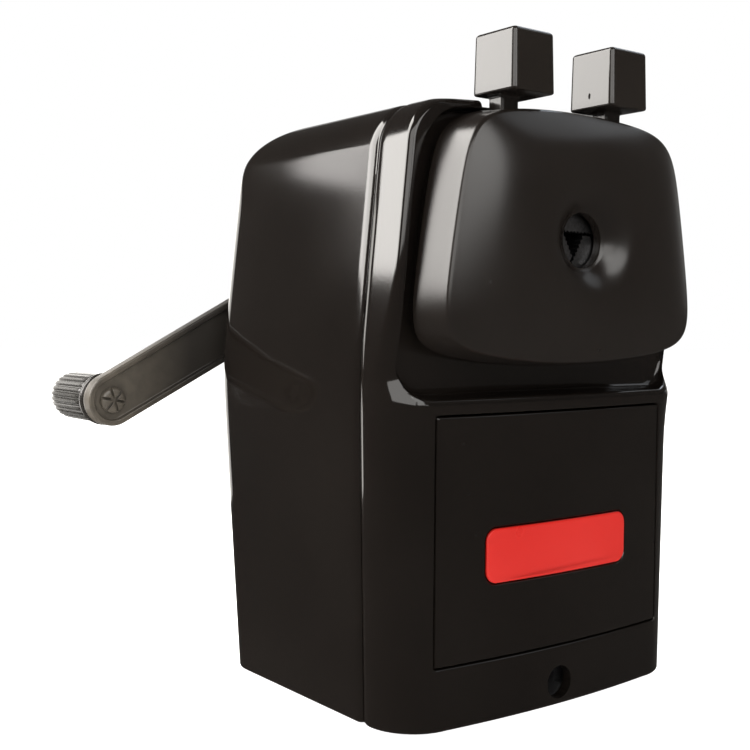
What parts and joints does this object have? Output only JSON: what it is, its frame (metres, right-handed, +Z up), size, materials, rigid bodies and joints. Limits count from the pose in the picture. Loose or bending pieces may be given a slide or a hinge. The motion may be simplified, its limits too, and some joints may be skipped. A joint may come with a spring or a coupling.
{
  "type": "crank pencil sharpener",
  "caption": "Desktop pencil sharpener: upright glossy housing, spring-loaded square head with a pencil hole and two squeeze tabs, front shavings drawer with a plain badge, crank at the back.",
  "frame": {"origin": "centre of the housing's width at the underside of the anti-slip pad, on the table", "axes": "+X to the right seen from the front, +Y from the front to the back along the pencil and crank axis, +Z up"},
  "size_m": [0.1083, 0.1009, 0.1305],
  "materials": {
    "shell_black": "high gloss moulded ABS",
    "head_black": "semi gloss moulded ABS",
    "grey_black": "semi gloss moulded ABS",
    "inner_black": "satin moulded plastic",
    "badge_red": "gloss red plastic",
    "pad_rubber": "matt rubber",
    "steel": "plated steel",
    "dark_steel": "hardened steel, dark",
    "zinc": "die-cast zinc alloy",
    "bearing_brass": "sintered bronze",
    "nylon": "natural nylon"
  },
  "bodies": {
    "housing": {"rear_shell": "shell_black", "front_frame": "shell_black", "base_plate": "inner_black", "anti_slip_pad": "pad_rubber", "gear_frame": "zinc", "ring_gear": "dark_steel", "front_bearing": "nylon", "rear_bearing": "bearing_brass", "guide_bush_left": "nylon", "guide_bush_right": "nylon", "feed_spring_left": "steel", "feed_spring_right": "steel", "base_screw_front_left": "steel", "base_screw_front_right": "steel", "base_screw_rear_left": "steel", "base_screw_rear_right": "steel", "frame_screw_upper_left": "steel", "frame_screw_upper_right": "steel", "frame_screw_lower_left": "steel", "frame_screw_lower_right": "steel"},
    "head": {"faceplate": "head_black", "chuck_backplate": "zinc", "guide_rod_left": "steel", "guide_rod_right": "steel", "rod_clip_left": "dark_steel", "rod_clip_right": "dark_steel", "chuck_screw_left": "steel", "chuck_screw_right": "steel", "tab_spring": "steel"},
    "left_squeezer": {"left_lever": "steel", "left_tab": "shell_black", "jaw_pin_1": "steel", "jaw_pin_2": "steel", "jaw_pin_3": "steel"},
    "right_squeezer": {"right_lever": "steel", "right_tab": "shell_black"},
    "first_jaw": {"jaw_1": "dark_steel"},
    "second_jaw": {"jaw_2": "dark_steel"},
    "third_jaw": {"jaw_3": "dark_steel"},
    "crank": {"crank_shaft": "steel", "cutter_carrier": "zinc", "cutter_axle": "steel", "crank_arm": "grey_black", "hub_washer": "steel", "hub_screw": "steel"},
    "cutter": {"helical_cutter": "steel", "cutter_pinion": "dark_steel"},
    "crank_knob": {"knob": "grey_black", "knob_snap_pin": "grey_black"},
    "drawer": {"drawer_tray": "grey_black", "drawer_front": "shell_black", "drawer_badge": "badge_red"}
  },
  "joints": [
    {"name": "head_slide", "type": "slide", "parent": "housing", "child": "head", "axis": [0, -1, 0], "range_m": [0, 0.028], "stiffness_N_per_m": 90, "springref_m": -0.022, "deforming": ["feed_spring_left", "feed_spring_right"]},
    {"name": "left_tab_squeeze", "type": "hinge", "parent": "head", "child": "left_squeezer", "pos_m": [0, -0.03, 0.0922], "axis": [0, 1, 0], "range_deg": [0, 9], "stiffness_Nm_per_rad": 0.4, "springref_deg": -6.88, "deforming": ["tab_spring"]},
    {"name": "right_tab_squeeze", "type": "hinge", "parent": "head", "child": "right_squeezer", "pos_m": [0, -0.03, 0.0922], "axis": [0, 1, 0], "range_deg": [-9, 0]},
    {"name": "first_jaw_swing", "type": "hinge", "parent": "left_squeezer", "child": "first_jaw", "pos_m": [0.008, -0.034, 0.0964], "axis": [0, 1, 0], "range_deg": [0, 21]},
    {"name": "second_jaw_swing", "type": "hinge", "parent": "left_squeezer", "child": "second_jaw", "pos_m": [-0.00764, -0.034, 0.09703], "axis": [0, 1, 0], "range_deg": [0, 21]},
    {"name": "third_jaw_swing", "type": "hinge", "parent": "left_squeezer", "child": "third_jaw", "pos_m": [-0.00036, -0.034, 0.08317], "axis": [0, 1, 0], "range_deg": [0, 21]},
    {"name": "crank_turn", "type": "hinge", "parent": "housing", "child": "crank", "pos_m": [0, 0.03, 0.0922], "axis": [0, 1, 0], "continuous": true},
    {"name": "cutter_spin", "type": "hinge", "parent": "crank", "child": "cutter", "pos_m": [0, -0.014, 0.10228], "axis": [0, 0.9823, -0.1871], "continuous": true},
    {"name": "knob_spin", "type": "hinge", "parent": "crank", "child": "crank_knob", "pos_m": [-0.06271, 0.038, 0.05955], "axis": [0, 1, 0], "continuous": true},
    {"name": "drawer_slide", "type": "slide", "parent": "housing", "child": "drawer", "axis": [0, -1, 0], "range_m": [0, 0.05]}
  ],
  "couplings": [
    {"joint": "right_tab_squeeze", "follows": "left_tab_squeeze", "ratio": -1},
    {"joint": "first_jaw_swing", "follows": "left_tab_squeeze", "ratio": 2.3333},
    {"joint": "second_jaw_swing", "follows": "left_tab_squeeze", "ratio": 2.3333},
    {"joint": "third_jaw_swing", "follows": "left_tab_squeeze", "ratio": 2.3333},
    {"joint": "cutter_spin", "follows": "crank_turn", "ratio": -3}
  ]
}
